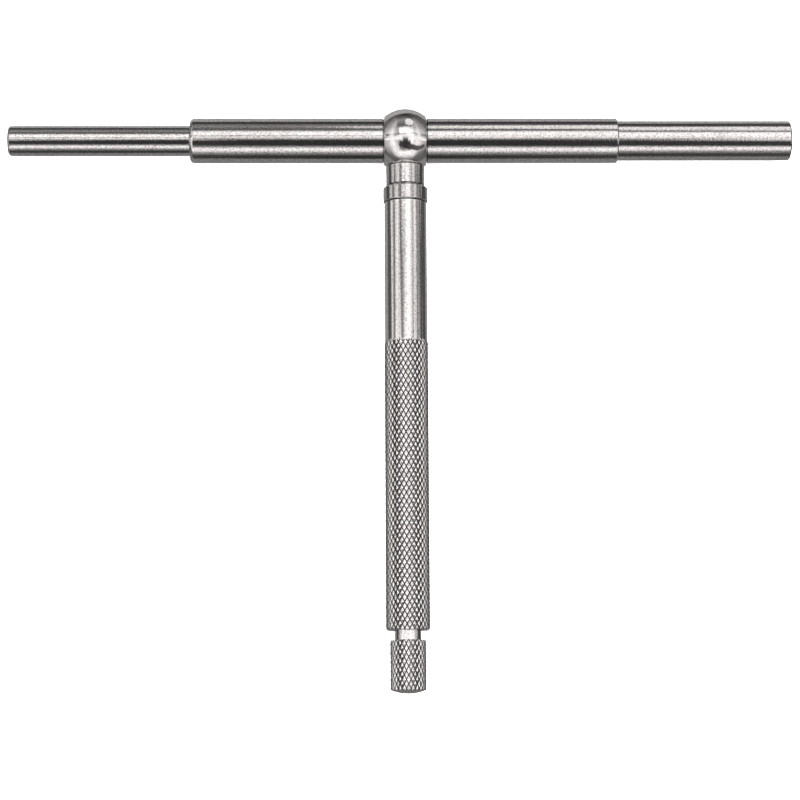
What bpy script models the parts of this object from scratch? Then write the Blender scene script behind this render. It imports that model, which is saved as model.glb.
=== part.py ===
"""Telescoping bore gauge, lying on a flat surface with both plungers out.

Two hollow plungers slide in a cross tube, one inside the other, and a spring pushes them apart. A screw in
the end of the handle pushes a rod and a shoe against them and so holds a measurement. Units are metres and
+Z is up. The cross tube runs along X and the handle runs from it towards -Y. The origin is under the middle
of the whole gauge, on the surface it lies on.
"""

import math

import bmesh
import bpy

MM = 0.001

# Cross tube and plungers, measured along X from the centre of the ball.
CLOSED_SPAN = 88.9 * MM
OPEN_SPAN = 152.4 * MM
SMALL_REACH = 77.1 * MM
LARGE_REACH = OPEN_SPAN - SMALL_REACH
SMALL_TRAVEL = 31.8 * MM
LARGE_TRAVEL = OPEN_SPAN - CLOSED_SPAN - SMALL_TRAVEL
TUBE_LEFT = 41.75 * MM
TUBE_RIGHT = 41.3 * MM
TUBE_RADIUS = 4.33 * MM
TUBE_BORE = 3.9 * MM
TUBE_END_WALL = 2.7 * MM
TUBE_LEFT_ROUNDING = 0.8 * MM
LARGE_RADIUS = 3.85 * MM
LARGE_BORE = 3.2 * MM
LARGE_TAIL = 6.0 * MM
SMALL_RADIUS = 2.94 * MM
SMALL_TAIL_RADIUS = 3.15 * MM
SMALL_BORE = 2.1 * MM
SMALL_TAIL = 7.0 * MM
TIP_CROWN = 0.15 * MM
TIP_LENGTH = 4.0 * MM
TIP_FLAT = 0.8 * MM
LARGE_EDGE = 0.4 * MM
SMALL_EDGE = 0.35 * MM

# Ball, neck and handle, measured from the centre of the ball down the handle.
BALL_RADIUS = 6.2 * MM
BALL_HALF_WIDTH = 4.08 * MM
NECK_RADIUS = 3.7 * MM
SPIGOT_RADIUS = 2.5 * MM
SPIGOT_TOP = 4.4 * MM
COLLAR_TOP = 9.15 * MM
COLLAR_RADIUS = 4.3 * MM
COLLAR_BORE = 3.0 * MM
COLLAR_BEVEL = 0.5 * MM
HANDLE_TOP = 12.4 * MM
HANDLE_RADIUS = 4.1 * MM
HANDLE_BORE = 2.6 * MM
GRIP_TOP = 39.9 * MM
GRIP_RADIUS = 4.22 * MM
GRIP_LEAD = 0.15 * MM
GRIP_CHAMFER = 0.25 * MM
HANDLE_END = 95.05 * MM
KNOB_TOP = 96.95 * MM
KNOB_RADIUS = 3.43 * MM
KNOB_CROWN = 0.6 * MM
KNOB_CORNER = 0.15 * MM
GAUGE_END = 106.9 * MM
STUD_END = 20.0 * MM

# Locking parts inside the handle.
SHOE_RADIUS = 1.9 * MM
SHOE_END = 6.2 * MM
SHOE_LAP = 0.6 * MM
SHOE_ROOM = 8.0 * MM
ROD_RADIUS = 1.2 * MM
ROD_FLANGE_RADIUS = 2.2 * MM
ROD_FLANGE = 26.2 * MM
ROD_FLANGE_LENGTH = 1.0 * MM
ROD_HEAD = 79.5 * MM
ROD_END = 82.0 * MM
SCREW_RADIUS = 2.5 * MM
PIN_RADIUS = 0.7 * MM
CUTTER_MARGIN = 1.0 * MM

# Springs.
WIRE_RADIUS = 0.2 * MM
PLUNGER_COIL_RADIUS = 1.6 * MM
PLUNGER_COIL_TURNS = 20
ROD_COIL_RADIUS = 1.75 * MM
ROD_COIL_TURNS = 5
POINTS_PER_TURN = 8

SLIP = 0.05 * MM
CHAMFER = 0.35 * MM
SEGMENTS = 32
MERGE = 0.01 * MM
SLOT_ROUNDING = 0.96
PIN_CLEARANCE = 0.15 * MM

# The origin is under the middle of the gauge, so the ball's centre stands off it.
BALL_CENTRE = (
    (SMALL_REACH - LARGE_REACH) / 2,
    (GAUGE_END - BALL_RADIUS) / 2,
    BALL_RADIUS,
)


def clear_scene():
    for obj in list(bpy.data.objects):
        bpy.data.objects.remove(obj)


def new_collection(name):
    group = bpy.data.collections.new(name)
    bpy.context.scene.collection.children.link(group)
    return group


def metal(name, colour, roughness):
    material = bpy.data.materials.new(name)
    material.use_nodes = True
    shader = material.node_tree.nodes["Principled BSDF"]
    shader.inputs["Base Color"].default_value = (*colour, 1.0)
    shader.inputs["Metallic"].default_value = 1.0
    shader.inputs["Roughness"].default_value = roughness
    return material


def add_empty(name, group, parent=None, location=(0, 0, 0), rotation=(0, 0, 0)):
    empty = bpy.data.objects.new(name, None)
    empty.empty_display_size = 5 * MM
    empty.parent = parent
    empty.location = location
    empty.rotation_euler = rotation
    group.objects.link(empty)
    return empty


def arc(centre, radius, start, end, steps):
    """Points of (radius, distance) round an arc, with angles in degrees from the direction of the radius."""
    points = []
    for i in range(steps + 1):
        angle = math.radians(start + (end - start) * i / steps)
        points.append((centre[0] + radius * math.cos(angle), centre[1] + radius * math.sin(angle)))
    return points


def crowned_end(edge_radius, pole, crown, side, steps=4):
    """The shallow round end of a tip, from its small flat middle out to its edge. side is +1 or -1."""
    points = [(TIP_FLAT, pole)]
    for i in range(1, steps + 1):
        radius = TIP_FLAT + (edge_radius - TIP_FLAT) * i / steps
        drop = crown * (radius**2 - TIP_FLAT**2) / (edge_radius**2 - TIP_FLAT**2)
        points.append((radius, pole - side * drop))
    return points


def turned(name, outline, material, parent, group, hollow):
    """A shape turned about its parent's Z axis. The outline runs down the outer side, from high Z to low Z.

    A hollow outline is a closed loop, and a solid one starts and ends on the axis.
    """
    mesh = bpy.data.meshes.new(name)
    shape = bmesh.new()
    corners = [shape.verts.new((radius, 0, distance)) for radius, distance in outline]
    for first, second in zip(corners, corners[1:]):
        shape.edges.new((first, second))
    if hollow:
        shape.edges.new((corners[-1], corners[0]))
    shape.to_mesh(mesh)
    shape.free()
    obj = bpy.data.objects.new(name, mesh)
    obj.parent = parent
    group.objects.link(obj)
    mesh.materials.append(material)
    screw = obj.modifiers.new("Turn", "SCREW")
    screw.axis = "Z"
    screw.steps = SEGMENTS
    screw.render_steps = SEGMENTS
    screw.use_merge_vertices = True
    screw.merge_threshold = MERGE
    screw.use_smooth_shade = False
    return obj


def coil(name, radius, start, end, turns, material, parent, group):
    """A spring wound about its parent's Z axis, from start to end."""
    curve = bpy.data.curves.new(name, "CURVE")
    curve.dimensions = "3D"
    curve.bevel_depth = WIRE_RADIUS
    curve.bevel_resolution = 2
    curve.use_fill_caps = True
    line = curve.splines.new("POLY")
    count = turns * POINTS_PER_TURN
    line.points.add(count)
    first, last = start + WIRE_RADIUS, end - WIRE_RADIUS
    for i, point in enumerate(line.points):
        angle = 2 * math.pi * i / POINTS_PER_TURN
        height = first + (last - first) * i / count
        point.co = (radius * math.cos(angle), radius * math.sin(angle), height, 1)
    obj = bpy.data.objects.new(name, curve)
    obj.parent = parent
    group.objects.link(obj)
    curve.materials.append(material)
    return obj


def cutting_rod(name, radius, start, end, parent, group):
    """A round cutter along its parent's Z axis, from start to end, faceted as the turned shapes are."""
    mesh = bpy.data.meshes.new(name)
    shape = bmesh.new()
    bmesh.ops.create_cone(
        shape,
        cap_ends=True,
        segments=SEGMENTS,
        radius1=radius,
        radius2=radius,
        depth=end - start,
    )
    bmesh.ops.translate(shape, verts=shape.verts, vec=(0, 0, (start + end) / 2))
    shape.to_mesh(mesh)
    shape.free()
    return as_cutter(name, mesh, parent, group)


def cutting_slot(name, half_width, low, high, depth, parent, group):
    """A cutter for a slot with round ends, from low to high along its parent's Z and open towards its Y."""
    mesh = bpy.data.meshes.new(name)
    shape = bmesh.new()
    bmesh.ops.create_cube(shape, size=1)
    bmesh.ops.scale(shape, verts=shape.verts, vec=(2 * half_width, depth[1] - depth[0], high - low))
    middle = (0, (depth[0] + depth[1]) / 2, (low + high) / 2)
    bmesh.ops.translate(shape, verts=shape.verts, vec=middle)
    corners = [e for e in shape.edges if abs(e.verts[0].co.y - e.verts[1].co.y) > MERGE]
    bmesh.ops.bevel(shape, geom=corners, offset=half_width * SLOT_ROUNDING, segments=5, profile=0.5, affect="EDGES")
    shape.to_mesh(mesh)
    shape.free()
    return as_cutter(name, mesh, parent, group)


def as_cutter(name, mesh, parent, group):
    obj = bpy.data.objects.new(name, mesh)
    obj.parent = parent
    obj.hide_render = True
    obj.display_type = "WIRE"
    group.objects.link(obj)
    return obj


def cut(obj, cutter):
    boolean = obj.modifiers.new("Cut " + cutter.name, "BOOLEAN")
    boolean.operation = "DIFFERENCE"
    boolean.solver = "EXACT"
    boolean.object = cutter


def make_cross_tube(steel, cross_axis, handle_axis, parts, cutters):
    """The thin tube across the head. Its left end is closed down to a guide bore for the small plunger."""
    corner = TUBE_LEFT_ROUNDING
    rounded = arc((TUBE_RADIUS - corner, corner - TUBE_LEFT), corner, 0, -90, 5)
    outline = [
        (TUBE_BORE, TUBE_RIGHT),
        (TUBE_RADIUS - CHAMFER, TUBE_RIGHT),
        (TUBE_RADIUS, TUBE_RIGHT - CHAMFER),
        *rounded,
        (SMALL_RADIUS + SLIP, -TUBE_LEFT),
        (SMALL_RADIUS + SLIP, TUBE_END_WALL - TUBE_LEFT),
        (TUBE_BORE, TUBE_END_WALL - TUBE_LEFT),
    ]
    tube = turned("cross_tube", outline, steel, cross_axis, parts, hollow=True)
    wall = (LARGE_BORE, TUBE_RADIUS + CUTTER_MARGIN)
    cut(tube, cutting_rod("shoe_hole", SHOE_RADIUS + SLIP, *wall, handle_axis, cutters))
    cut(tube, cutting_rod("pin_hole", PIN_RADIUS + SLIP, -wall[1], -wall[0], handle_axis, cutters))


def make_head_ball(steel, cross_axis, handle_axis, parts, cutters):
    """A ball with two flat sides, bored for the cross tube and drilled for the neck's spigot."""
    rim_angle = math.degrees(math.asin(BALL_HALF_WIDTH / BALL_RADIUS))
    outside = arc((0, 0), BALL_RADIUS, rim_angle, -rim_angle, 10)
    bore = TUBE_RADIUS + SLIP
    outline = [(bore, BALL_HALF_WIDTH), *outside, (bore, -BALL_HALF_WIDTH)]
    ball = turned("head_ball", outline, steel, cross_axis, parts, hollow=True)
    spigot = SPIGOT_RADIUS + SLIP
    hole = (LARGE_RADIUS, BALL_RADIUS + CUTTER_MARGIN)
    cut(ball, cutting_rod("spigot_hole", spigot, *hole, handle_axis, cutters))


def make_neck_stud(steel, handle_axis, parts):
    """The neck: its top is hollowed to sit on the ball, and spigots reach into the ball and the handle."""
    seat = BALL_RADIUS + SLIP
    seat_start = math.degrees(math.acos(NECK_RADIUS / seat))
    seat_end = math.degrees(math.acos(SPIGOT_RADIUS / seat))
    shank = HANDLE_BORE - SLIP
    under_collar = COLLAR_TOP - SLIP
    outline = [
        (ROD_RADIUS + 2 * SLIP, STUD_END),
        (shank - CHAMFER, STUD_END),
        (shank, STUD_END - CHAMFER),
        (shank, HANDLE_TOP - SLIP),
        (COLLAR_BORE - SLIP, HANDLE_TOP - SLIP),
        (COLLAR_BORE - SLIP, under_collar),
        (NECK_RADIUS, under_collar),
        *arc((0, 0), seat, seat_start, seat_end, 3),
        (SPIGOT_RADIUS, SPIGOT_TOP),
        (SHOE_RADIUS + SLIP, SPIGOT_TOP),
        (SHOE_RADIUS + SLIP, SHOE_ROOM),
        (ROD_RADIUS + 2 * SLIP, SHOE_ROOM),
    ]
    turned("neck_stud", outline, steel, handle_axis, parts, hollow=True)


def make_neck_collar(steel, handle_axis, parts):
    """The bevelled ring that hides the joint between the neck and the handle."""
    bottom = HANDLE_TOP - SLIP
    outline = [
        (COLLAR_BORE, bottom),
        (COLLAR_RADIUS, bottom),
        (COLLAR_RADIUS, COLLAR_TOP + COLLAR_BEVEL),
        (NECK_RADIUS, COLLAR_TOP),
        (COLLAR_BORE, COLLAR_TOP),
    ]
    turned("neck_collar", outline, steel, handle_axis, parts, hollow=True)


def make_handle_tube(steel, handle_axis, parts):
    """The handle: smooth above, and a little thicker below where it is knurled."""
    outline = [
        (HANDLE_BORE, HANDLE_END),
        (GRIP_RADIUS - GRIP_CHAMFER, HANDLE_END),
        (GRIP_RADIUS, HANDLE_END - GRIP_CHAMFER),
        (GRIP_RADIUS, GRIP_TOP),
        (HANDLE_RADIUS, GRIP_TOP - GRIP_LEAD),
        (HANDLE_RADIUS, HANDLE_TOP),
        (HANDLE_BORE, HANDLE_TOP),
    ]
    turned("handle_tube", outline, steel, handle_axis, parts, hollow=True)


def make_large_plunger(steel, slide, parts, cutters):
    """The outer plunger. A slot along its back takes the stop pin, which lets it slide but not turn."""
    end = LARGE_REACH - TIP_CROWN - SLIP
    outline = [
        (LARGE_BORE, end),
        (LARGE_RADIUS - LARGE_EDGE, end),
        (LARGE_RADIUS, end - LARGE_EDGE),
        (LARGE_RADIUS, CHAMFER - LARGE_TAIL),
        (LARGE_RADIUS - CHAMFER, -LARGE_TAIL),
        (LARGE_BORE, -LARGE_TAIL),
    ]
    plunger = turned("large_plunger", outline, steel, slide, parts, hollow=True)
    half_width = PIN_RADIUS + SLIP
    through_wall = (SMALL_TAIL_RADIUS - CUTTER_MARGIN, LARGE_RADIUS + CUTTER_MARGIN)
    low, high = -half_width, LARGE_TRAVEL + half_width
    cut(plunger, cutting_slot("pin_slot", half_width, low, high, through_wall, slide, cutters))


def make_small_plunger(steel, slide, parts):
    """The inner plunger. Its thicker tail slides in the large plunger and stops at the tube's end wall."""
    shoulder = TUBE_END_WALL - TUBE_LEFT + 2 * SLIP
    end = TIP_CROWN + SLIP - SMALL_REACH
    outline = [
        (SMALL_BORE, SMALL_TAIL),
        (SMALL_TAIL_RADIUS - CHAMFER, SMALL_TAIL),
        (SMALL_TAIL_RADIUS, SMALL_TAIL - CHAMFER),
        (SMALL_TAIL_RADIUS, shoulder),
        (SMALL_RADIUS, shoulder),
        (SMALL_RADIUS, end + SMALL_EDGE),
        (SMALL_RADIUS - SMALL_EDGE, end),
        (SMALL_BORE, end),
    ]
    turned("small_plunger", outline, steel, slide, parts, hollow=True)


def make_contact_tips(steel, small_slide, large_slide, parts):
    """Hardened plugs in the plungers' outer ends, with shallow crowned faces that touch the bore's wall."""
    radius = LARGE_BORE - SLIP
    face = crowned_end(radius, LARGE_REACH, TIP_CROWN, 1)
    back = LARGE_REACH - TIP_LENGTH
    outline = [(0, LARGE_REACH), *face, (radius, back), (0, back)]
    turned("large_contact_tip", outline, steel, large_slide, parts, hollow=False)
    radius = SMALL_BORE - SLIP
    face = crowned_end(radius, -SMALL_REACH, TIP_CROWN, -1)
    back = TIP_LENGTH - SMALL_REACH
    outline = [(0, back), (radius, back), *reversed(face), (0, -SMALL_REACH)]
    turned("small_contact_tip", outline, steel, small_slide, parts, hollow=False)


def make_plunger_springs(steel, cross_axis, parts):
    """The long spring between the tips, as two halves that meet in the middle of the head."""
    inner = 2 * SLIP
    left_end = TIP_LENGTH - SMALL_REACH + inner
    right_end = LARGE_REACH - TIP_LENGTH - inner
    shape = (PLUNGER_COIL_TURNS, steel, cross_axis, parts)
    coil("plunger_spring_left", PLUNGER_COIL_RADIUS, left_end, -inner, *shape)
    coil("plunger_spring_right", PLUNGER_COIL_RADIUS, inner, right_end, *shape)


def make_stop_pin(steel, handle_axis, parts):
    """A short pin in the tube's wall under the ball. It stands in the large plunger's slot."""
    outline = [
        (0, -SMALL_TAIL_RADIUS - PIN_CLEARANCE),
        (PIN_RADIUS, -SMALL_TAIL_RADIUS - PIN_CLEARANCE),
        (PIN_RADIUS, SLIP - TUBE_RADIUS),
        (0, SLIP - TUBE_RADIUS),
    ]
    turned("stop_pin", outline, steel, handle_axis, parts, hollow=False)


def make_lock_shoe(steel, lock_slide, cross_axis, parts, cutters):
    """The shoe between the rod and the plungers, with a saddle that fits the large plunger's round side."""
    top = LARGE_RADIUS - SHOE_LAP
    outline = [(0, SHOE_END), (SHOE_RADIUS, SHOE_END), (SHOE_RADIUS, top), (0, top)]
    shoe = turned("lock_shoe", outline, steel, lock_slide, parts, hollow=False)
    width = SHOE_RADIUS + CUTTER_MARGIN
    cut(shoe, cutting_rod("shoe_saddle", LARGE_RADIUS + SLIP, -width, width, cross_axis, cutters))


def make_lock_rod(steel, lock_slide, parts):
    """The rod down the handle, with a flange for its spring and a head that the screw pushes."""
    flange_end = ROD_FLANGE + ROD_FLANGE_LENGTH
    outline = [
        (0, ROD_END),
        (ROD_FLANGE_RADIUS - CHAMFER, ROD_END),
        (ROD_FLANGE_RADIUS, ROD_END - CHAMFER),
        (ROD_FLANGE_RADIUS, ROD_HEAD),
        (ROD_RADIUS, ROD_HEAD),
        (ROD_RADIUS, flange_end),
        (ROD_FLANGE_RADIUS, flange_end),
        (ROD_FLANGE_RADIUS, ROD_FLANGE),
        (ROD_RADIUS, ROD_FLANGE),
        (ROD_RADIUS, SHOE_END + SLIP),
        (0, SHOE_END + SLIP),
    ]
    turned("lock_rod", outline, steel, lock_slide, parts, hollow=False)


def make_lock_rod_spring(steel, handle_axis, parts):
    """The light spring that lifts the rod off the plungers when the screw is slackened."""
    start = STUD_END + 2 * SLIP
    end = ROD_FLANGE - 2 * SLIP
    coil("lock_rod_spring", ROD_COIL_RADIUS, start, end, ROD_COIL_TURNS, steel, handle_axis, parts)


def make_lock_screw(steel, lock_turn, parts):
    """The screw in the handle's end: a threaded shank and a knob with a crowned end."""
    crown = crowned_end(KNOB_RADIUS - KNOB_CORNER, GAUGE_END, KNOB_CROWN, 1)
    outline = [
        (0, GAUGE_END),
        *crown,
        (KNOB_RADIUS, GAUGE_END - KNOB_CROWN - KNOB_CORNER),
        (KNOB_RADIUS, KNOB_TOP + KNOB_CORNER),
        (KNOB_RADIUS - KNOB_CORNER, KNOB_TOP),
        (SCREW_RADIUS, KNOB_TOP),
        (SCREW_RADIUS, ROD_END + 2 * SLIP + CHAMFER),
        (SCREW_RADIUS - CHAMFER, ROD_END + 2 * SLIP),
        (0, ROD_END + 2 * SLIP),
    ]
    turned("lock_screw", outline, steel, lock_turn, parts, hollow=False)


def main():
    clear_scene()
    parts = new_collection("Telescoping gauge")
    cutters = new_collection("Cutters")
    ground = metal("ground_steel", (0.62, 0.61, 0.59), 0.28)
    polished = metal("polished_steel", (0.66, 0.65, 0.63), 0.12)
    hardened = metal("hardened_steel", (0.55, 0.54, 0.53), 0.3)
    spring = metal("spring_steel", (0.4, 0.4, 0.41), 0.35)

    ball_centre = add_empty("ball_centre", parts, location=BALL_CENTRE)
    quarter = math.pi / 2
    cross_axis = add_empty("cross_axis", parts, ball_centre, rotation=(0, quarter, 0))
    handle_axis = add_empty("handle_axis", parts, ball_centre, rotation=(quarter, 0, 0))
    small_slide = add_empty("small_slide", parts, cross_axis)
    large_slide = add_empty("large_slide", parts, cross_axis)
    lock_slide = add_empty("lock_slide", parts, handle_axis)
    lock_turn = add_empty("lock_turn", parts, lock_slide)

    make_cross_tube(ground, cross_axis, handle_axis, parts, cutters)
    make_head_ball(polished, cross_axis, handle_axis, parts, cutters)
    make_neck_stud(polished, handle_axis, parts)
    make_neck_collar(polished, handle_axis, parts)
    make_handle_tube(ground, handle_axis, parts)
    make_large_plunger(ground, large_slide, parts, cutters)
    make_small_plunger(ground, small_slide, parts)
    make_contact_tips(hardened, small_slide, large_slide, parts)
    make_plunger_springs(spring, cross_axis, parts)
    make_stop_pin(hardened, handle_axis, parts)
    make_lock_shoe(hardened, lock_slide, cross_axis, parts, cutters)
    make_lock_rod(hardened, lock_slide, parts)
    make_lock_rod_spring(spring, handle_axis, parts)
    make_lock_screw(ground, lock_turn, parts)


main()
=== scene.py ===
"""The finished look of a telescoping bore gauge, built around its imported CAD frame.

Every piece but the lock shoe and the stop pin is turned or wound again here at full fineness, in the
place and to the size of its CAD node. Each is made in an axis frame of its own: local Z runs along the
cross tube or down the handle, and 0 is the centre of the ball. The openings inside the head, for the
shoe, the pin and the neck's spigot, are not cut in these turned pieces, so the shoe and the pin pass
through their walls.
"""

import math

import bmesh
import bpy
from mathutils import Matrix, Vector


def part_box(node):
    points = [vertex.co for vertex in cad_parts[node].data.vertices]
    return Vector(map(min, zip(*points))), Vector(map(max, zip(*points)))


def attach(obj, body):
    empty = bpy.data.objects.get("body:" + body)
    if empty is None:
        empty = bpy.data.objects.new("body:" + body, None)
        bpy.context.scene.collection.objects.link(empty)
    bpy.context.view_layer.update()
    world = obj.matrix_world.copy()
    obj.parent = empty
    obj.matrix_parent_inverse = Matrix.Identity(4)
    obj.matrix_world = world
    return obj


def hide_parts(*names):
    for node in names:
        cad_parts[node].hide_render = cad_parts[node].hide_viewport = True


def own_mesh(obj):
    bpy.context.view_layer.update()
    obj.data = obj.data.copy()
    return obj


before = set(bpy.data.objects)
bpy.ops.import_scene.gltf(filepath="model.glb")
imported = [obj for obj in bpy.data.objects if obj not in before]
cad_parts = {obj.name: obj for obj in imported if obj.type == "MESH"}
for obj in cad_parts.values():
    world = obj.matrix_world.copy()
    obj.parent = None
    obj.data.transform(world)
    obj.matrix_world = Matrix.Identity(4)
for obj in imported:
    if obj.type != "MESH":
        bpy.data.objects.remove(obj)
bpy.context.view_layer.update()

MM = 0.001
SEGMENTS = 128
SLIP = 0.05 * MM

# Bores, edges and other small sizes that a box round a CAD node doesn't give.
TUBE_BORE = 3.9 * MM
TUBE_END_WALL = 2.7 * MM
TUBE_LEFT_ROUNDING = 0.8 * MM
LARGE_BORE = 3.2 * MM
SMALL_SHANK = 2.94 * MM
SMALL_BORE = 2.1 * MM
COLLAR_BEVEL = 0.5 * MM
COLLAR_BORE = 3.0 * MM
NECK_RADIUS = 3.7 * MM
SPIGOT_RADIUS = 2.5 * MM
SHOE_ROOM = 8.0 * MM
HANDLE_BORE = 2.6 * MM
HANDLE_RADIUS = 4.1 * MM
GRIP_TOP = 39.9 * MM
KNOB_TOP = 96.95 * MM
KNOB_CROWN = 0.6 * MM
SCREW_RADIUS = 2.5 * MM
ROD_RADIUS = 1.2 * MM
ROD_FLANGE = 26.2 * MM
ROD_FLANGE_LENGTH = 1.0 * MM
ROD_HEAD = 79.5 * MM
TIP_CROWN = 0.15 * MM
TIP_FLAT = 0.8 * MM
CHAMFER = 0.35 * MM
FILLET = 0.06 * MM
BALL_RIM_ROUNDING = 0.2 * MM
TUBE_RIM = 0.2 * MM
PLUNGER_RIM = 0.3 * MM
GAP_DEPTH = 0.15 * MM
SEAT_LEAD_DEGREES = 2

# Knurls: the starts go round, the repeat is along the axis.
KNURL_STEPS = (0, 0.14, 0.28, 0.5, 0.72, 0.86)
KNURL_DEPTHS = (0.2 * MM, 0.105 * MM, 0.05 * MM, 0, 0.05 * MM, 0.105 * MM)
GROOVE_WIDTH = (0.07, 0.14)
GRIP_STARTS = 27
GRIP_REPEAT = 1.65 * MM
KNOB_STARTS = 24
KNOB_REPEAT = 1.67 * MM

# The knurls' chamfers are (height, length).
GRIP_LEAD_LENGTH = 0.15 * MM
GRIP_TAIL = (0.25 * MM, 0.3 * MM)
GRIP_RUN_OUT = 0.25 * MM
KNOB_LEAD = (0.06 * MM, 0.06 * MM)
KNOB_CORNER = 0.15 * MM

# Springs.
WIRE_RADIUS = 0.2 * MM
PLUNGER_COIL_RADIUS = 1.6 * MM
PLUNGER_TURNS = 20
ROD_COIL_RADIUS = 1.75 * MM
ROD_TURNS = 6

# Painted shade in corners and grooves: how far it reaches, between which shares of open sky it fades, its
# colour and how rough the steel is where it lies.
CORNER_SHADE_REACH = 0.6 * MM
CORNER_SHADE_FADE = (0.3, 0.62)
PAINTED_SHADE_COLOUR = (0.03, 0.028, 0.027)
CREASE_ROUGHNESS = 0.5
BALL_DENTS = 45.0

# The ball's own box stops short towards the handle, where the neck enters it.
low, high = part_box("head_ball")
BALL_RADIUS = (high.z - low.z) / 2
BALL_CENTRE = Vector(((low.x + high.x) / 2, high.y - BALL_RADIUS, (low.z + high.z) / 2))
BALL_HALF_WIDTH = (high.x - low.x) / 2
CROSS = Matrix.Translation(BALL_CENTRE) @ Matrix.Rotation(math.pi / 2, 4, "Y")
HANDLE = Matrix.Translation(BALL_CENTRE) @ Matrix.Rotation(math.pi / 2, 4, "X")


def along_cross(node):
    """Where a node starts and ends along the cross tube, and its radius."""
    low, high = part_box(node)
    return low.x - BALL_CENTRE.x, high.x - BALL_CENTRE.x, (high.z - low.z) / 2


def along_handle(node):
    """Where a node starts and ends down the handle, and its radius."""
    low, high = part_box(node)
    return BALL_CENTRE.y - high.y, BALL_CENTRE.y - low.y, (high.z - low.z) / 2


# ---------------------------------------------------------------- outlines


def arc(centre, radius, start, end, steps):
    """Points (radius, distance) round an arc, with angles in degrees from the direction of the radius."""
    points = []
    for i in range(steps + 1):
        angle = math.radians(start + (end - start) * i / steps)
        points.append((centre[0] + radius * math.cos(angle), centre[1] + radius * math.sin(angle)))
    return points


def softened(corners, closed):
    """An outline with small round edges: a corner given a third number is rounded by that much."""
    points = []
    count = len(corners)
    for i, corner in enumerate(corners):
        here = Vector(corner[:2])
        inner = closed or 0 < i < count - 1
        if len(corner) < 3 or not inner:
            points.append(tuple(here))
            continue
        reach = corner[2]
        back = (Vector(corners[i - 1][:2]) - here).normalized()
        ahead = (Vector(corners[(i + 1) % count][:2]) - here).normalized()
        points.append(tuple(here + back * reach * 1.3))
        for step in range(5):
            t = step / 4
            curve = back * reach * (1 - t) ** 2 + ahead * reach * t**2
            points.append(tuple(here + curve))
        points.append(tuple(here + ahead * reach * 1.3))
    return points


def crowned(edge_radius, pole, crown, side, steps=8):
    """A shallow round end with a small flat middle, from the middle out to its edge. side is +1 or -1."""
    points = [(0, pole), (TIP_FLAT, pole)]
    for i in range(1, steps + 1):
        radius = TIP_FLAT + (edge_radius - TIP_FLAT) * i / steps
        drop = crown * (radius**2 - TIP_FLAT**2) / (edge_radius**2 - TIP_FLAT**2)
        points.append((radius, pole - side * drop))
    return points


# ---------------------------------------------------------------- meshes


def ring(shape, radius, distance, angles):
    return [shape.verts.new((radius * math.cos(a), radius * math.sin(a), distance)) for a in angles]


def join_rings(shape, first, second):
    """Quads between two rings of as many points, or a fan where one of them is a single point."""
    count = max(len(first), len(second))
    for i in range(count):
        j = (i + 1) % count
        from_first = [first[i % len(first)], first[j % len(first)]]
        from_second = [second[j % len(second)], second[i % len(second)]]
        unique = list(dict.fromkeys(from_first + from_second))
        shape.faces.new(unique)


def sweep(shape, outline, angles, start=None):
    """Turns an outline round Z, from a ring that is there already or from its first point.

    Gives the rings.
    """
    rings = [start] if start else []
    for radius, distance in outline:
        count = angles if radius > 1e-7 else [0]
        rings.append(ring(shape, radius, distance, count))
    for first, second in zip(rings, rings[1:]):
        join_rings(shape, first, second)
    return rings


def finish_piece(name, shape, place, material, body, nodes, sharp=35):
    """Makes an object of a mesh, sets where it rides, and hides the CAD nodes that it stands for."""
    bmesh.ops.recalc_face_normals(shape, faces=shape.faces)
    mesh = bpy.data.meshes.new(name)
    shape.to_mesh(mesh)
    shape.free()
    mesh.shade_smooth()
    mesh.set_sharp_from_angle(angle=math.radians(sharp))
    mesh.materials.append(material)
    obj = bpy.data.objects.new(name, mesh)
    bpy.context.scene.collection.objects.link(obj)
    obj.matrix_world = place
    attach(obj, body)
    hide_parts(*nodes)
    return obj


def turned(name, corners, closed, place, material, body):
    """A piece turned about its axis, which stands for the CAD node of the same name."""
    outline = softened(corners, closed)
    shape = bmesh.new()
    angles = [2 * math.pi * i / SEGMENTS for i in range(SEGMENTS)]
    rings = sweep(shape, outline, angles)
    if closed:
        join_rings(shape, rings[-1], rings[0])
    return finish_piece(name + "_fine", shape, place, material, body, [name])


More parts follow.
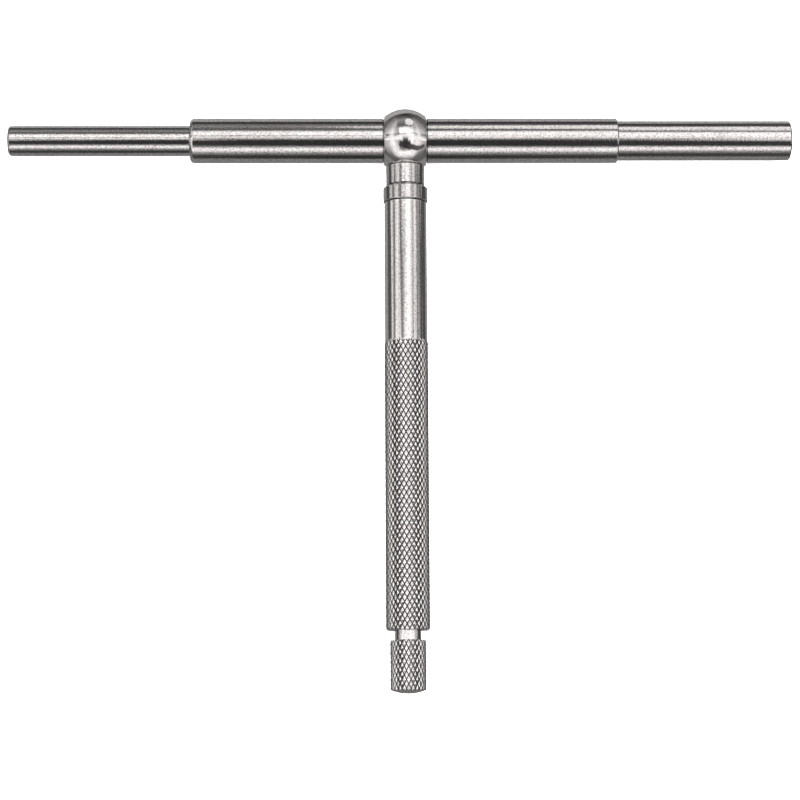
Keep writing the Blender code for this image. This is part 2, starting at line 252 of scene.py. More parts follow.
def knurl(shape, radius, low, high, starts, repeat, lead, tail):
    """A diamond knurl between two distances. lead and tail are (height, length) of its chamfers.

    The grooves lie on whole numbers of two slanting coordinates, u and w. Each diamond between them is
    a pyramid with steep flanks and a flatter crest. Its quads fold along the lines where two of its
    sides meet.
    """
    count = len(KNURL_STEPS)
    found = {}

    def vertex(a, b):
        key = (a - b, (a + b) % (2 * count * starts))
        if key not in found:
            u = a // count + KNURL_STEPS[a % count]
            w = b // count + KNURL_STEPS[b % count]
            angle = math.pi * (u + w) / starts
            r = radius - max(KNURL_DEPTHS[a % count], KNURL_DEPTHS[b % count])
            place = (r * math.cos(angle), r * math.sin(angle), repeat * (u - w) / 2)
            found[key] = shape.verts.new(place)
        return found[key]

    first = count * (math.floor(2 * low / repeat) - 1)
    last = count * (math.ceil(2 * high / repeat) + 1)
    for b in range(count * starts):
        for a in range(b + first, b + last):
            corners = [vertex(a, b), vertex(a + 1, b), vertex(a + 1, b + 1), vertex(a, b + 1)]
            i, j = a % count, b % count
            if i != j and i + j != count - 1:
                shape.faces.new(corners)
                continue
            if i != j:
                corners = corners[1:] + corners[:1]
            shape.faces.new(corners[:3])
            shape.faces.new((corners[0], corners[2], corners[3]))
    for distance, side in ((low, -1), (high, 1)):
        trim(shape, distance, side)
    for distance in (low + lead[1], high - tail[1]):
        trim(shape, distance, 0)
    for v in shape.verts:
        start_limit = radius - lead[0] * (1 - (v.co.z - low) / lead[1])
        end_limit = radius - tail[0] * (1 - (high - v.co.z) / tail[1])
        here = v.co.xy.length
        allowed = min(here, start_limit, end_limit)
        v.co.xy *= allowed / here


def trim(shape, distance, side):
    """Cuts a mesh at a distance along Z, and drops what is past it: above for side 1, below for -1."""
    bmesh.ops.bisect_plane(
        shape,
        geom=shape.verts[:] + shape.edges[:] + shape.faces[:],
        dist=1e-8,
        plane_co=(0, 0, distance),
        plane_no=(0, 0, 1),
        clear_outer=side > 0,
        clear_inner=side < 0,
    )


def open_ring(shape, distance):
    """The open edge of a mesh at a distance along Z, as vertices in order of angle."""
    edges = [e for e in shape.edges if e.is_boundary and abs(e.verts[0].co.z - distance) < 1e-6]
    around = {v for e in edges for v in e.verts}
    return sorted(around, key=lambda v: math.atan2(v.co.y, v.co.x) % (2 * math.pi))


def angles_of(around):
    return [math.atan2(v.co.y, v.co.x) for v in around]


def bridge(shape, first, second):
    """Joins two rings that may have unequal numbers of points."""
    edges = []
    for around in (first, second):
        for v, w in zip(around, around[1:] + around[:1]):
            edges.append(shape.edges.get((v, w)))
    bmesh.ops.bridge_loops(shape, edges=edges)


def wound(name, coil_radius, start, end, turns, place, material, body, slot):
    """A compression spring along its axis. Its last turn at each end lies close, as on a real spring."""
    around = 24
    sides = 12
    shape = bmesh.new()
    count = turns * around
    closed_turns = 1.25
    first = start + WIRE_RADIUS
    last = end - WIRE_RADIUS
    slow = 2.05 * WIRE_RADIUS
    pitch = (last - first - 2 * closed_turns * slow) / (turns - 2 * closed_turns)
    rings = []
    for i in range(count + 1):
        turn = i / around
        left = min(turn, closed_turns)
        right = max(0, turn - (turns - closed_turns))
        height = first + slow * (left + right) + pitch * (turn - left - right)
        angle = 2 * math.pi * turn
        out = Vector((math.cos(angle), math.sin(angle), 0))
        centre = out * coil_radius + Vector((0, 0, height))
        section = []
        for k in range(sides):
            turn_angle = 2 * math.pi * k / sides
            offset = out * math.cos(turn_angle) + Vector((0, 0, math.sin(turn_angle)))
            section.append(shape.verts.new(centre + offset * WIRE_RADIUS))
        rings.append(section)
    for first_ring, second_ring in zip(rings, rings[1:]):
        join_rings(shape, first_ring, second_ring)
    for end_ring in (rings[0], rings[-1]):
        shape.faces.new(end_ring)
    return finish_piece(name + "_fine", shape, place, material, body, [name])


# ---------------------------------------------------------------- materials


class Nodes:
    """A short way to write a node tree: each call adds a node and gives its output."""

    def __init__(self, tree):
        self.tree = tree

    def add(self, kind, **settings):
        node = self.tree.nodes.new(kind)
        for key, value in settings.items():
            setattr(node, key, value)
        return node

    def feed(self, socket, value):
        if isinstance(value, bpy.types.NodeSocket):
            self.tree.links.new(value, socket)
        else:
            socket.default_value = value

    def maths(self, operation, first, second=0.0):
        node = self.add("ShaderNodeMath", operation=operation)
        self.feed(node.inputs[0], first)
        self.feed(node.inputs[1], second)
        return node.outputs[0]

    def noise(self, scale, detail=2.0, roughness=0.5):
        """Noise in the piece's own frame. scale is in features per millimetre along X, Y and Z."""
        place = self.add("ShaderNodeTexCoord").outputs["Object"]
        mapping = self.add("ShaderNodeMapping")
        self.feed(mapping.inputs["Vector"], place)
        mapping.inputs["Scale"].default_value = [s / MM for s in scale]
        texture = self.add("ShaderNodeTexNoise")
        self.feed(texture.inputs["Vector"], mapping.outputs[0])
        texture.inputs["Scale"].default_value = 1.0
        texture.inputs["Detail"].default_value = detail
        texture.inputs["Roughness"].default_value = roughness
        return texture.outputs["Fac"]

    def mix(self, factor, first, second):
        node = self.add("ShaderNodeMix", data_type="FLOAT")
        self.feed(node.inputs["Factor"], factor)
        self.feed(node.inputs["A"], first)
        self.feed(node.inputs["B"], second)
        return node.outputs["Result"]

    def blend(self, factor, first, second, how="MIX"):
        """Mixes two colours, each an output or three numbers."""
        node = self.add("ShaderNodeMix", data_type="RGBA", blend_type=how)
        self.feed(node.inputs["Factor"], factor)
        for name, colour in (("A", first), ("B", second)):
            given = isinstance(colour, bpy.types.NodeSocket)
            self.feed(node.inputs[name], colour if given else (*colour, 1.0))
        return node.outputs["Result"]

    def between(self, value, low, high, out_low, out_high):
        node = self.add("ShaderNodeMapRange", interpolation_type="SMOOTHSTEP")
        self.feed(node.inputs["Value"], value)
        names = ("From Min", "From Max", "To Min", "To Max")
        for name, number in zip(names, (low, high, out_low, out_high)):
            node.inputs[name].default_value = number
        return node.outputs[0]

    def over(self, angle, span, out_low, out_high):
        """As between, for an angle. span is two angles in degrees."""
        low, high = map(math.radians, span)
        return self.between(angle, low, high, out_low, out_high)

    def times(self, *values):
        product = values[0]
        for value in values[1:]:
            product = self.maths("MULTIPLY", product, value)
        return product


def steel(
    name, colour, stain, roughness, rings=0.9, scratches=0.5, speckle=5.0, dents=0.0, pits=0.6
):
    """Bare steel, darkened by painted shade in its corners, where it is also rougher.

    rings, scratches, speckle and dents are the heights of its relief in micrometres. pits is how dark
    its fine pits are, from 0 for black to 1 for none.
    """
    material = bpy.data.materials.new(name)
    material.use_nodes = True
    n = Nodes(material.node_tree)
    shader = material.node_tree.nodes["Principled BSDF"]
    shader.inputs["Metallic"].default_value = 1.0

    cloud = n.noise((0.35, 0.35, 0.12), detail=4.0)
    tint = n.blend(n.between(cloud, 0.35, 0.75, 0.0, 1.0), colour, stain)
    pitted = n.between(n.noise((4.0, 4.0, 3.0), detail=2.0), 0.42, 0.7, 0.0, 1.0)
    worn = n.blend(pitted, tint, (pits, pits, pits), "MULTIPLY")
    # Painted shade: ambient occlusion darkens the colour towards the shade colour, and raises the
    # roughness, in corners and crevices.
    corner = n.add("ShaderNodeAmbientOcclusion", samples=6)
    corner.inputs["Distance"].default_value = CORNER_SHADE_REACH
    painted_corner_shade = n.between(corner.outputs["AO"], *CORNER_SHADE_FADE, 1.0, 0.0)
    n.feed(shader.inputs["Base Color"], n.blend(painted_corner_shade, worn, PAINTED_SHADE_COLOUR))

    fine = n.noise((2.5, 2.5, 2.5), detail=3.0)
    rough = n.between(fine, 0.3, 0.8, roughness[0], roughness[1])
    n.feed(shader.inputs["Roughness"], n.mix(painted_corner_shade, rough, CREASE_ROUGHNESS))

    turning = n.maths("MULTIPLY", n.noise((0.12, 0.12, 9.0), detail=3.0), rings)
    sliding = n.maths("MULTIPLY", n.noise((6.0, 6.0, 0.08), detail=3.0), scratches)
    grain = n.maths("MULTIPLY", n.noise((3.2, 3.2, 2.4), detail=2.0), speckle)
    dented = n.maths("MULTIPLY", n.noise((0.7, 0.7, 0.7), detail=1.0), dents)
    relief = n.maths("ADD", n.maths("ADD", turning, sliding), n.maths("ADD", grain, dented))
    bump = n.add("ShaderNodeBump")
    bump.inputs["Strength"].default_value = 1.0
    bump.inputs["Distance"].default_value = 1e-6
    n.feed(bump.inputs["Height"], relief)
    n.feed(shader.inputs["Normal"], bump.outputs["Normal"])
    return material


def knurled_steel(name, starts, repeat, start):
    """Steel with painted shade in the grooves of its knurl, where the knurl's own coordinates are whole.
    """
    bright = (0.97, 0.945, 0.935)
    stained = (0.9, 0.87, 0.86)
    material = steel(name, bright, stained, (0.04, 0.1), scratches=0.3, speckle=7.0)
    n = Nodes(material.node_tree)
    shader = material.node_tree.nodes["Principled BSDF"]
    place = n.add("ShaderNodeSeparateXYZ")
    n.feed(place.inputs[0], n.add("ShaderNodeTexCoord").outputs["Object"])
    x, y, z = place.outputs
    around = n.maths("MULTIPLY", n.maths("ARCTAN2", y, x), starts / (2 * math.pi))
    along = n.maths("DIVIDE", z, repeat)
    offsets = []
    for operation in ("ADD", "SUBTRACT"):
        part = n.maths("FRACT", n.maths(operation, around, along))
        offsets.append(n.maths("ABSOLUTE", n.maths("SUBTRACT", part, 0.5)))
    near = n.maths("MAXIMUM", *offsets)
    # Painted shade: the colour darkens, and the roughness rises, near the bottom of each groove of the
    # knurl, everywhere past the knurl's start along Z.
    groove = n.between(near, 0.5 - GROOVE_WIDTH[1], 0.5 - GROOVE_WIDTH[0], 0.0, 1.0)
    groove = n.maths("MULTIPLY", groove, n.maths("GREATER_THAN", z, start))
    colour = shader.inputs["Base Color"]
    n.feed(colour, n.blend(groove, colour.links[0].from_socket, PAINTED_SHADE_COLOUR))
    rough = shader.inputs["Roughness"]
    n.feed(rough, n.mix(groove, rough.links[0].from_socket, CREASE_ROUGHNESS))
    return material


# ---------------------------------------------------------------- the gauge's pieces


def make_cross_tube(material):
    """The tube, with a fine groove on each side where it enters the ball."""
    left, right, radius = along_cross("cross_tube")
    corner = TUBE_LEFT_ROUNDING
    guide = SMALL_SHANK + SLIP
    right_gap = [
        (radius, BALL_HALF_WIDTH + 2 * GAP_DEPTH),
        (radius - GAP_DEPTH, BALL_HALF_WIDTH + GAP_DEPTH),
        (radius - GAP_DEPTH, BALL_HALF_WIDTH),
        (radius, BALL_HALF_WIDTH),
    ]
    left_gap = [(height, -distance) for height, distance in reversed(right_gap)]
    corners = [
        (TUBE_BORE, right, FILLET),
        (radius - TUBE_RIM, right, FILLET),
        (radius, right - TUBE_RIM, FILLET),
        *right_gap,
        *left_gap,
        *arc((radius - corner, left + corner), corner, 0, -90, 10),
        (guide, left, FILLET),
        (guide, left + TUBE_END_WALL),
        (TUBE_BORE, left + TUBE_END_WALL),
    ]
    turned("cross_tube", corners, True, CROSS, material, "gauge_body")


def make_head_ball(material):
    bore = along_cross("cross_tube")[2] + SLIP
    rounding = BALL_RIM_ROUNDING
    rim = math.degrees(math.asin((BALL_HALF_WIDTH - rounding) / (BALL_RADIUS - rounding)))
    rim_radius = (BALL_RADIUS - rounding) * math.cos(math.radians(rim))
    edge = BALL_HALF_WIDTH - rounding
    corners = [
        (bore, BALL_HALF_WIDTH, FILLET),
        *arc((rim_radius, edge), rounding, 90, rim, 6),
        *arc((0, 0), BALL_RADIUS, rim, -rim, 48)[1:-1],
        *arc((rim_radius, -edge), rounding, -rim, -90, 6),
        (bore, -BALL_HALF_WIDTH, FILLET),
    ]
    turned("head_ball", corners, True, CROSS, material, "gauge_body")


def make_neck(material):
    top, end, _ = along_handle("neck_stud")
    collar_top, collar_end, collar_radius = along_handle("neck_collar")
    seat = BALL_RADIUS + SLIP
    seat_start = math.degrees(math.acos(NECK_RADIUS / seat))
    seat_end = math.degrees(math.acos(SPIGOT_RADIUS / seat))
    shank = HANDLE_BORE - SLIP
    shoe = along_handle("lock_shoe")[2] + SLIP
    rod = ROD_RADIUS + 2 * SLIP
    corners = [
        (rod, end),
        (shank - CHAMFER, end),
        (shank, end - CHAMFER),
        (shank, collar_end),
        (COLLAR_BORE - SLIP, collar_end),
        (COLLAR_BORE - SLIP, collar_top - SLIP),
        (NECK_RADIUS - GAP_DEPTH, collar_top - SLIP),
        (NECK_RADIUS, collar_top - SLIP - GAP_DEPTH),
        (NECK_RADIUS, seat * math.sin(math.radians(seat_start)) + 2 * GAP_DEPTH),
        (NECK_RADIUS - GAP_DEPTH, seat * math.sin(math.radians(seat_start)) + GAP_DEPTH),
        *arc((0, 0), seat, seat_start + SEAT_LEAD_DEGREES, seat_end, 8),
        (SPIGOT_RADIUS, top),
        (shoe, top),
        (shoe, SHOE_ROOM),
        (rod, SHOE_ROOM),
    ]
    turned("neck_stud", corners, True, HANDLE, material, "gauge_body")
    corners = [
        (COLLAR_BORE, collar_end),
        (collar_radius - GAP_DEPTH, collar_end),
        (collar_radius, collar_end - GAP_DEPTH, FILLET),
        (collar_radius, collar_top + COLLAR_BEVEL, FILLET),
        (NECK_RADIUS, collar_top, FILLET),
        (COLLAR_BORE, collar_top),
    ]
    turned("neck_collar", corners, True, HANDLE, material, "gauge_body")


def make_handle(material):
    """The handle is one closed mesh: a smooth top, the knurl, an end face and the bore."""
    top, end, radius = along_handle("handle_tube")
    shape = bmesh.new()
    knurl(
        shape,
        radius,
        GRIP_TOP,
        end,
        GRIP_STARTS,
        GRIP_REPEAT,
        lead=(radius - HANDLE_RADIUS, GRIP_LEAD_LENGTH),
        tail=GRIP_TAIL,
    )
    upper = open_ring(shape, GRIP_TOP)
    lower = open_ring(shape, end)
    smooth = softened(
        [
            (HANDLE_RADIUS, GRIP_TOP - GRIP_RUN_OUT),
            (HANDLE_RADIUS, top + GAP_DEPTH, FILLET),
            (HANDLE_RADIUS - GAP_DEPTH, top),
            (HANDLE_BORE, top),
        ],
        False,
    )
    bore_top = sweep(shape, smooth, angles_of(upper), upper)[-1]
    bore_end = sweep(shape, [(HANDLE_BORE, end)], angles_of(lower), lower)[-1]
    bridge(shape, bore_top, bore_end)
    finish_piece(
        "handle_tube_fine",
        shape,
        HANDLE,
        material,
        "gauge_body",
        ["handle_tube"],
        sharp=15,
    )


def make_lock_screw(material):
    """The locking screw is one closed mesh: a knurled knob with a crowned end, and a shank."""
    shank_end, end, radius = along_handle("lock_screw")
    knurl_end = end - KNOB_CROWN
    shape = bmesh.new()
    knurl(
        shape,
        radius,
        KNOB_TOP,
        knurl_end,
        KNOB_STARTS,
        KNOB_REPEAT,
        lead=KNOB_LEAD,
        tail=(KNOB_CORNER, KNOB_CORNER),
    )
    upper = open_ring(shape, KNOB_TOP)
    lower = open_ring(shape, knurl_end)
    shank = softened(
        [
            (SCREW_RADIUS + FILLET, KNOB_TOP),
            (SCREW_RADIUS, KNOB_TOP - FILLET),
            (SCREW_RADIUS, shank_end + CHAMFER),
            (SCREW_RADIUS - CHAMFER, shank_end),
            (0, shank_end),
        ],
        False,
    )
    sweep(shape, shank, angles_of(upper), upper)
    crown = list(reversed(crowned(radius - KNOB_CORNER, end, KNOB_CROWN, 1)))
    sweep(shape, crown[1:], angles_of(lower), lower)
    finish_piece(
        "lock_screw_fine",
        shape,
        HANDLE,
        material,
        "lock_screw",
        ["lock_screw"],
        sharp=15,
    )


def make_plungers(material):
    tail, reach, radius = along_cross("large_plunger")
    corners = [
        (LARGE_BORE, reach, FILLET),
        (radius - PLUNGER_RIM, reach, FILLET),
        (radius, reach - PLUNGER_RIM, FILLET),
        (radius, tail + CHAMFER, FILLET),
        (radius - CHAMFER, tail),
        (LARGE_BORE, tail),
    ]
    turned("large_plunger", corners, True, CROSS, material, "large_plunger")
    reach, tail, tail_radius = along_cross("small_plunger")
    shoulder = along_cross("cross_tube")[0] + TUBE_END_WALL + 2 * SLIP
    corners = [
        (SMALL_BORE, tail),
        (tail_radius - CHAMFER, tail),
        (tail_radius, tail - CHAMFER, FILLET),
        (tail_radius, shoulder),
        (SMALL_SHANK, shoulder),
        (SMALL_SHANK, reach + CHAMFER, FILLET),
        (SMALL_SHANK - CHAMFER, reach, FILLET),
        (SMALL_BORE, reach, FILLET),
    ]
    turned("small_plunger", corners, True, CROSS, material, "small_plunger")


def make_contact_tips(material):
    back, pole, radius = along_cross("large_contact_tip")
    corners = [*crowned(radius, pole, TIP_CROWN, 1), (radius, back), (0, back)]
    turned("large_contact_tip", corners, False, CROSS, material, "large_plunger")
    pole, back, radius = along_cross("small_contact_tip")
    corners = [(0, back), (radius, back), *reversed(crowned(radius, pole, TIP_CROWN, -1))]
    turned("small_contact_tip", corners, False, CROSS, material, "small_plunger")


def make_lock(material):
    """The rod down the handle. The shoe and the stop pin keep their CAD shapes and take its steel."""
    top, end, head_radius = along_handle("lock_rod")
    flange_end = ROD_FLANGE + ROD_FLANGE_LENGTH
    corners = [
        (0, end),
        (head_radius - CHAMFER, end),
        (head_radius, end - CHAMFER, FILLET),
        (head_radius, ROD_HEAD, FILLET),
        (ROD_RADIUS, ROD_HEAD),
        (ROD_RADIUS, flange_end),
        (head_radius, flange_end, FILLET),
        (head_radius, ROD_FLANGE, FILLET),
        (ROD_RADIUS, ROD_FLANGE),
        (ROD_RADIUS, top, FILLET),
        (0, top),
    ]
    turned("lock_rod", corners, False, HANDLE, material, "lock_rod")
    for node in ("lock_shoe", "stop_pin"):
        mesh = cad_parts[node].data
        mesh.materials.clear()
        mesh.materials.append(material)


def make_springs(material):
    """One spring runs from tip to tip, as two halves, one for each plunger; each half gets its own copy
    of its mesh.
    """
    for node, joint in (
        ("plunger_spring_left", "small_plunger_slide"),
        ("plunger_spring_right", "large_plunger_slide"),
    ):
        start, end, _ = along_cross(node)
        size = (PLUNGER_COIL_RADIUS, start, end, PLUNGER_TURNS)
        spring = wound(node, *size, CROSS, material, "gauge_body", "spring_steel")
        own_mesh(spring)
    start, end, _ = along_handle("lock_rod_spring")
    size = (ROD_COIL_RADIUS, start, end, ROD_TURNS)
    wound("lock_rod_spring", *size, HANDLE, material, "gauge_body", "spring_steel")


# ---------------------------------------------------------------- studio


def make_floor():
    """A wide pale floor. The steel doesn't mirror it: the world below the horizon stands for it there."""
    bpy.ops.mesh.primitive_plane_add(size=20)
    floor = bpy.context.object
    floor.name = "studio_floor"
    floor.visible_glossy = False
    material = bpy.data.materials.new("studio_paper")
    material.use_nodes = True
    shader = material.node_tree.nodes["Principled BSDF"]
    shader.inputs["Base Color"].default_value = (0.93, 0.93, 0.93, 1.0)
    shader.inputs["Roughness"].default_value = 1.0
    shader.inputs["Specular IOR Level"].default_value = 0.0
    floor.data.materials.append(material)


def ramp(n, angle, stops):
    """Brightness by angle, from a list of (degrees, brightness)."""
    node = n.add("ShaderNodeValToRGB")
    n.feed(node.inputs["Fac"], n.maths("ADD", n.maths("MULTIPLY", angle, 0.5 / math.pi), 0.5))
    points = node.color_ramp.elements
    while len(points) < len(stops):
        points.new(0.5)
    for point, (degrees, bright) in zip(points, stops):
        point.position = degrees / 360 + 0.5
        point.color = (bright, bright, bright, 1.0)
    return node.outputs["Color"]


# The room that the steel mirrors. Angles are in degrees. Each table is brightness by angle from
# straight up. The strip lies over the tube, and the other two tables are the room from side to side: as
# the handle mirrors it, and as the ball and the neck do.
OVER_STRIP = (
    (-112, 0.05), (-102, 0.05), (-93, 0.1), (-86, 0.18), (-80, 0.2), (-75, 0.38), (-69, 0.62),
    (-63, 0.8), (-57, 0.82), (-52, 0.6), (-47, 0.32), (-42, 0.16), (-35, 0.08), (-27, 0.03),
    (-13, 0.03), (-8, 0.1), (-3, 0.36), (2, 0.62), (7, 0.8), (12, 0.88), (28, 0.88), (33, 0.76),
    (37, 0.42), (41, 0.16), (48, 0.08), (56, 0.14), (64, 0.2), (72, 0.18), (79, 0.1), (87, 0.04),
    (98, 0.03),
)
OVER_HANDLE = (
    (-106, 0.02), (-97, 0.03), (-91, 0.12), (-86, 0.42), (-82, 0.56), (-76, 0.36), (-69, 0.1),
    (-62, 0.18), (-56, 0.42), (-49, 0.6), (-43, 0.54), (-37, 0.32), (-31, 0.14), (-25, 0.1),
    (-19, 0.18), (-14, 0.28), (-4, 0.38), (1, 0.52), (6, 0.68), (11, 0.76), (20, 0.74), (27, 0.54),
    (35, 0.27), (41, 0.3), (48, 0.64), (54, 0.5), (61, 0.18), (67, 0.15), (74, 0.22), (82, 0.1),
    (91, 0.04),
)
OVER_SIDES = (
    (-115, 0.05), (-97, 0.12), (-80, 0.32), (-64, 0.45), (-47, 0.8), (-36, 0.42), (-25, 0.3),
    (-15, 0.75), (0, 0.85), (28, 0.85), (37, 0.5), (46, 0.75), (60, 0.45), (80, 0.3), (97, 0.1),
    (112, 0.05),
)
# How far the boxes and the lower room reach towards the ends.
BESIDE = ((-48, 0.15), (-30, 0.6), (-14, 1.0), (20, 1.0), (36, 0.6), (52, 0.45), (90, 0.35))
BELOW = ((-90, 0.1), (-76, 0.35), (-62, 0.62), (-48, 0.66), (-36, 0.4), (-22, 0.2), (-8, 0.0))
# The narrow band towards the head in which the handle finds its own table.
HANDLE_BAND_START = (8, 9.5)
HANDLE_BAND_END = (14.3, 15.3)
# The lower room, from side to side.
UNDER_REACH = (45, 80)
UNDER_BRIGHTNESS = (0.9, 0.12)
# The strip: its half width, and the gap in it through which the handle sees the room.
STRIP_HALF_WIDTH = (17, 24)
STRIP_GAP_START = (8, 9.5)
STRIP_GAP_END = (13.5, 15)
STRIP_GAP_GAIN = 1.2
# The round box: where it is (aside, ahead), its size, its soft edge and its brightness.
ROUND_BOX = (12, 60)
ROUND_BOX_SIZE = (14, 16)
ROUND_BOX_EDGE = (0.5, 1.1)
ROUND_BOX_BRIGHTNESS = 0.5
# The skirt: a low bright band on both sides of the middle.
SKIRT_START = (5, 12)
SKIRT_RISE = (-22, -7)
SKIRT_FALL = (3, 9)
SKIRT_BRIGHTNESS = 0.75
# A dark band that slants across the boxes on one side.
SHADE_SLOPE = 0.39
SHADE_OFFSET = 29
SHADE_WIDTH = (6, 15)
SHADE_BRIGHTNESS = 0.08
SHADE_CENTRE = 25
SHADE_REACH = (40, 52)
# Strength above the horizon and at it, the least light in the room, and more of it towards the corners.
BOX_STRENGTH = 1.75
HORIZON = (84, 100)
HORIZON_STRENGTH = 0.8
ROOM_DIM = 0.04
ROOM_CORNERS = 0.25
# The ground: its grey in front and behind, and the angle from straight up at which it starts.
GROUND_GREY = (0.28, 0.52)
GROUND_EDGE = 122
GROUND_EDGE_BEHIND = 102
GROUND_EDGE_RIGHT = 14
GROUND_BLUR = 0.07
# A slight wave in all of it, and its tint.
WAVER = 3.2
WAVER_SCALE = 5.0
ROOM_TINT = (1.0, 0.985, 0.98, 1.0)


def overhead_boxes(n, across, ahead, aside, along):
    """The strip over the tube and the room around it, with a round box and a skirt."""
    side = ramp(n, across, OVER_HANDLE)
    band_start = n.over(along, HANDLE_BAND_START, 0.0, 1.0)
    banded = n.times(band_start, n.over(along, HANDLE_BAND_END, 1.0, 0.0))
    sides = n.mix(banded, ramp(n, across, OVER_SIDES), side)
    under = n.over(n.maths("ABSOLUTE", across), UNDER_REACH, *UNDER_BRIGHTNESS)
    beside = n.times(sides, ramp(n, along, BESIDE))
    room = n.maths("ADD", beside, n.times(under, ramp(n, along, BELOW)))

    below = n.over(ahead, STRIP_GAP_START, 1.0, 0.0)
    above = n.over(ahead, STRIP_GAP_END, 0.0, 1.0)
    level = n.maths("MAXIMUM", below, above)
    gap = n.mix(level, n.times(side, STRIP_GAP_GAIN), 1.0)
    strip = n.times(ramp(n, ahead, OVER_STRIP), gap)
    off_strip = n.over(n.maths("ABSOLUTE", aside), STRIP_HALF_WIDTH, 0.0, 1.0)
    boxes = n.maths("ADD", n.mix(off_strip, strip, room), round_box(n, aside, ahead))
    return n.maths("MAXIMUM", boxes, skirt(n, aside, ahead))


def round_box(n, aside, ahead):
    squares = []
    for angle, at, size in zip((aside, ahead), ROUND_BOX, ROUND_BOX_SIZE):
        off = n.maths("SUBTRACT", angle, math.radians(at))
        part = n.maths("DIVIDE", off, math.radians(size))
        squares.append(n.times(part, part))
    return n.between(n.maths("ADD", *squares), *ROUND_BOX_EDGE, ROUND_BOX_BRIGHTNESS, 0.0)


def skirt(n, aside, ahead):
    outer = n.over(n.maths("ABSOLUTE", aside), SKIRT_START, 0.0, SKIRT_BRIGHTNESS)
    rise = n.over(ahead, SKIRT_RISE, 0.0, 1.0)
    fall = n.over(ahead, SKIRT_FALL, 1.0, 0.0)
    return n.times(outer, n.times(rise, fall))


def shaded(n, boxes, ahead, aside):
    """The boxes with a dark band slanting across them."""
    slant = n.maths("ADD", ahead, n.times(aside, SHADE_SLOPE))
    off_slant = n.maths("ABSOLUTE", n.maths("ADD", slant, math.radians(SHADE_OFFSET)))
    unshaded = n.over(off_slant, SHADE_WIDTH, SHADE_BRIGHTNESS, 1.0)
    far = n.maths("ABSOLUTE", n.maths("SUBTRACT", aside, math.radians(SHADE_CENTRE)))
    return n.times(boxes, n.mix(n.over(far, SHADE_REACH, 0.0, 1.0), unshaded, 1.0))


def grounded(n, boxes, x, y, z):
    """The boxes over a dim room, and the grey ground below its edge."""
    down = n.maths("ARCCOSINE", z)
    lit = n.times(boxes, n.over(down, HORIZON, BOX_STRENGTH, HORIZON_STRENGTH))
    corner = n.times(n.maths("ABSOLUTE", x), n.maths("ABSOLUTE", y))
    dim = n.maths("ADD", n.times(corner, ROOM_CORNERS), ROOM_DIM)
    back = n.maths("MAXIMUM", y, 0.0)
    front = n.times(corner, n.between(y, 0.1, -0.1, 0.0, 2.0))
    rise = math.radians(GROUND_EDGE - GROUND_EDGE_BEHIND)
    nearer = n.times(n.maths("ADD", back, front), rise)
    right = n.times(n.maths("MAXIMUM", x, 0.0), math.radians(GROUND_EDGE_RIGHT))
    edge = n.maths("ADD", n.maths("SUBTRACT", math.radians(GROUND_EDGE), nearer), right)
    past = n.between(n.maths("SUBTRACT", down, edge), -GROUND_BLUR, GROUND_BLUR, 0.0, 1.0)
    grey = n.maths("ADD", n.times(back, GROUND_GREY[1] - GROUND_GREY[0]), GROUND_GREY[0])
    return n.mix(past, n.maths("MAXIMUM", lit, dim), grey)


def make_world():
    """The room that the steel mirrors. The camera itself sees plain white instead."""
    world = bpy.data.worlds.new("studio")
    bpy.context.scene.world = world
    world.use_nodes = True
    tree = world.node_tree
    n = Nodes(tree)
    direction = n.add("ShaderNodeTexCoord").outputs["Generated"]
    parts = n.add("ShaderNodeSeparateXYZ")
    n.feed(parts.inputs[0], direction)
    x, y, z = parts.outputs
    cloth = n.add("ShaderNodeTexNoise")
    n.feed(cloth.inputs["Vector"], direction)
    cloth.inputs["Scale"].default_value = WAVER_SCALE
    waver = n.times(n.maths("SUBTRACT", cloth.outputs["Fac"], 0.5), math.radians(WAVER))
    across = n.maths("ADD", n.maths("ARCTAN2", x, z), waver)
    ahead = n.maths("ADD", n.maths("ARCTAN2", y, z), waver)
    aside = n.maths("ADD", n.maths("ARCSINE", x), waver)
    along = n.maths("ADD", n.maths("ARCSINE", y), waver)

    boxes = overhead_boxes(n, across, ahead, aside, along)
    mirrored = grounded(n, shaded(n, boxes, ahead, aside), x, y, z)
    seen = n.add("ShaderNodeLightPath").outputs["Is Camera Ray"]
    background = tree.nodes["Background"]
    n.feed(background.inputs["Strength"], n.mix(seen, mirrored, 1.0))
    background.inputs["Color"].default_value = ROOM_TINT


def make_floor_light():
    """A large soft light that keeps the floor pale under the dark parts of the room."""
    data = bpy.data.lights.new("floor_light", "AREA")
    data.shape = "DISK"
    data.size = 1.6
    data.energy = 70
    light = bpy.data.objects.new("floor_light", data)
    light.location = (0, 0, 1.0)
    light.visible_glossy = False
    light.visible_camera = False
    bpy.context.scene.collection.objects.link(light)


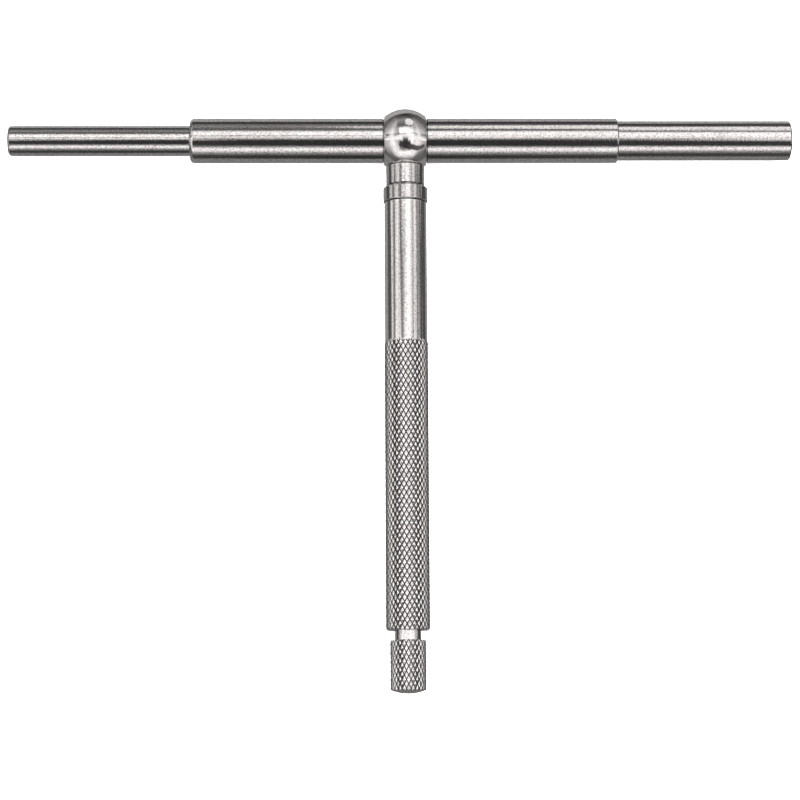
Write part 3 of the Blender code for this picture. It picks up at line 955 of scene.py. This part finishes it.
def make_camera():
    """A long lens almost straight above, tipped towards the end of the handle."""
    tilt = math.radians(9)
    pan = math.radians(-1.2)
    roll = math.radians(-0.15)
    distance = 0.4593
    data = bpy.data.cameras.new("camera")
    data.lens = 108
    data.sensor_width = 36
    camera = bpy.data.objects.new("camera", data)
    target = Vector((-0.37 * MM, -0.73 * MM, BALL_CENTRE.z))
    turn = Matrix.Rotation(tilt, 4, "X") @ Matrix.Rotation(pan, 4, "Y") @ Matrix.Rotation(roll, 4, "Z")
    camera.matrix_world = Matrix.Translation(target) @ turn @ Matrix.Translation((0, 0, distance))
    bpy.context.scene.collection.objects.link(camera)
    bpy.context.scene.camera = camera


def main():
    bpy.context.scene.view_settings.view_transform = "Standard"
    ground = steel(
        "ground_steel", (0.72, 0.7, 0.695), (0.66, 0.635, 0.625), (0.04, 0.1), speckle=10.0
    )
    polished = steel(
        "polished_steel",
        (0.74, 0.72, 0.715),
        (0.69, 0.665, 0.655),
        (0.03, 0.07),
        rings=0.3,
        dents=2.0,
    )
    ball = steel(
        "ball_steel",
        (0.76, 0.74, 0.735),
        (0.71, 0.685, 0.675),
        (0.03, 0.07),
        rings=0.0,
        speckle=2.0,
        dents=BALL_DENTS,
        pits=0.85,
    )
    grip = knurled_steel("grip_steel", GRIP_STARTS, GRIP_REPEAT, GRIP_TOP)
    knob = knurled_steel("knob_steel", KNOB_STARTS, KNOB_REPEAT, KNOB_TOP)
    hardened = steel(
        "hardened_steel",
        (0.58, 0.57, 0.56),
        (0.52, 0.51, 0.5),
        (0.12, 0.22),
        scratches=0.1,
        speckle=1.0,
    )
    spring = steel(
        "spring_steel", (0.42, 0.42, 0.43), (0.34, 0.33, 0.32), (0.2, 0.35), rings=0.1, speckle=1.0
    )
    make_cross_tube(ground)
    make_head_ball(ball)
    make_neck(polished)
    make_handle(grip)
    make_lock_screw(knob)
    make_plungers(ground)
    make_contact_tips(hardened)
    make_lock(hardened)
    make_springs(spring)
    make_floor()
    make_world()
    make_floor_light()
    make_camera()


main()
